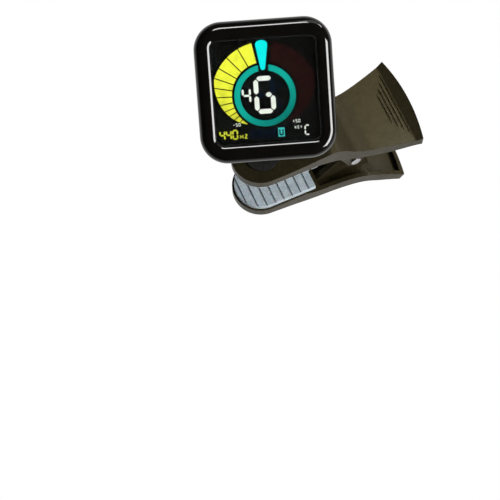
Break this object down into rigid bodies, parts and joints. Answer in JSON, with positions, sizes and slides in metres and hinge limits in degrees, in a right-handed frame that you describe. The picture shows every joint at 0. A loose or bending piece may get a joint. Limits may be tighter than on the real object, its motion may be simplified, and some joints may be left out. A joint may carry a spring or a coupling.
{
  "type": "clip-on tuner",
  "caption": "Square colour-display tuner head on a swivel and tilt joint, carried by a sprung two-arm clip with rubber jaw pads.",
  "frame": {"origin": "centre of the front jaw pad's gripping face, where it meets the front of a headstock", "axes": "+X along the clip from jaw to handles, +Y into the headstock, +Z across the clip along the hinge pin"},
  "size_m": [0.0703, 0.0706, 0.0493],
  "materials": {
    "clip_plastic": "matte moulded, fine grain",
    "pad_rubber": "soft satin",
    "steel": "bright zinc",
    "spring_steel": "drawn wire",
    "joint_plastic": "satin",
    "gloss_case": "polished",
    "lens": "smoked, clear",
    "lcd_glass": "smooth",
    "backlight_white": "satin",
    "ribbon": "satin",
    "board_green": "satin mask",
    "chip_black": "matte",
    "contact_gold": "satin",
    "cell_steel": "satin",
    "piezo_brass": "satin",
    "ceramic": "matte",
    "button_grey": "satin"
  },
  "bodies": {
    "front_clip": {"front_arm": "clip_plastic", "front_pad": "pad_rubber", "pivot_pin": "steel", "torsion_spring": "spring_steel"},
    "rear_clip": {"rear_arm": "clip_plastic", "rear_pad": "pad_rubber"},
    "swivel": {"swivel_base": "joint_plastic", "swivel_washer": "steel", "swivel_screw": "steel", "tilt_screw": "steel", "tilt_nut": "steel", "tilt_washers": "steel"},
    "head": {"front_bezel": "gloss_case", "window_lens": "lens", "lcd_panel": "lcd_glass", "backlight": "backlight_white", "display_ribbon": "ribbon", "circuit_board": "board_green", "board_chips": "chip_black", "crystal": "steel", "tact_switches": "chip_black", "circuit_screws": "steel", "battery_spring": "contact_gold", "battery_clip": "contact_gold", "coin_cell": "cell_steel", "piezo_disc": "piezo_brass", "piezo_ceramic": "ceramic", "rear_shell": "gloss_case"},
    "power_key": {"power_button": "button_grey"},
    "mode_key": {"mode_button": "button_grey"},
    "pitch_key": {"pitch_button": "button_grey"},
    "door": {"battery_door": "gloss_case"}
  },
  "joints": [
    {"name": "clip_hinge", "type": "hinge", "parent": "front_clip", "child": "rear_clip", "pos_m": [0.0306, 0.0096, 0], "axis": [0, 0, 1], "range_deg": [-20, 19], "stiffness_Nm_per_rad": 0.3, "springref_deg": 45.84, "deforming": ["torsion_spring"]},
    {"name": "head_swivel", "type": "hinge", "parent": "front_clip", "child": "swivel", "pos_m": [0.0005, 0, 0], "axis": [0, 1, 0], "continuous": true},
    {"name": "head_tilt", "type": "hinge", "parent": "swivel", "child": "head", "pos_m": [0.00353, -0.012, 0.00285], "axis": [0.9421, 0, -0.3355], "range_deg": [-40, 30]},
    {"name": "power_press", "type": "slide", "parent": "head", "child": "power_key", "axis": [-0.1677, -0.866, -0.471], "range_m": [0, 0.0005], "stiffness_N_per_m": 1500, "springref_m": -0.0002},
    {"name": "mode_press", "type": "slide", "parent": "head", "child": "mode_key", "axis": [-0.1677, -0.866, -0.471], "range_m": [0, 0.0005], "stiffness_N_per_m": 1500, "springref_m": -0.0002},
    {"name": "pitch_press", "type": "slide", "parent": "head", "child": "pitch_key", "axis": [-0.1677, -0.866, -0.471], "range_m": [0, 0.0005], "stiffness_N_per_m": 1500, "springref_m": -0.0002},
    {"name": "door_turn", "type": "hinge", "parent": "head", "child": "door", "pos_m": [0.00765, -0.02371, 0.01443], "axis": [0.1677, 0.866, 0.471], "range_deg": [0, 35]}
  ]
}
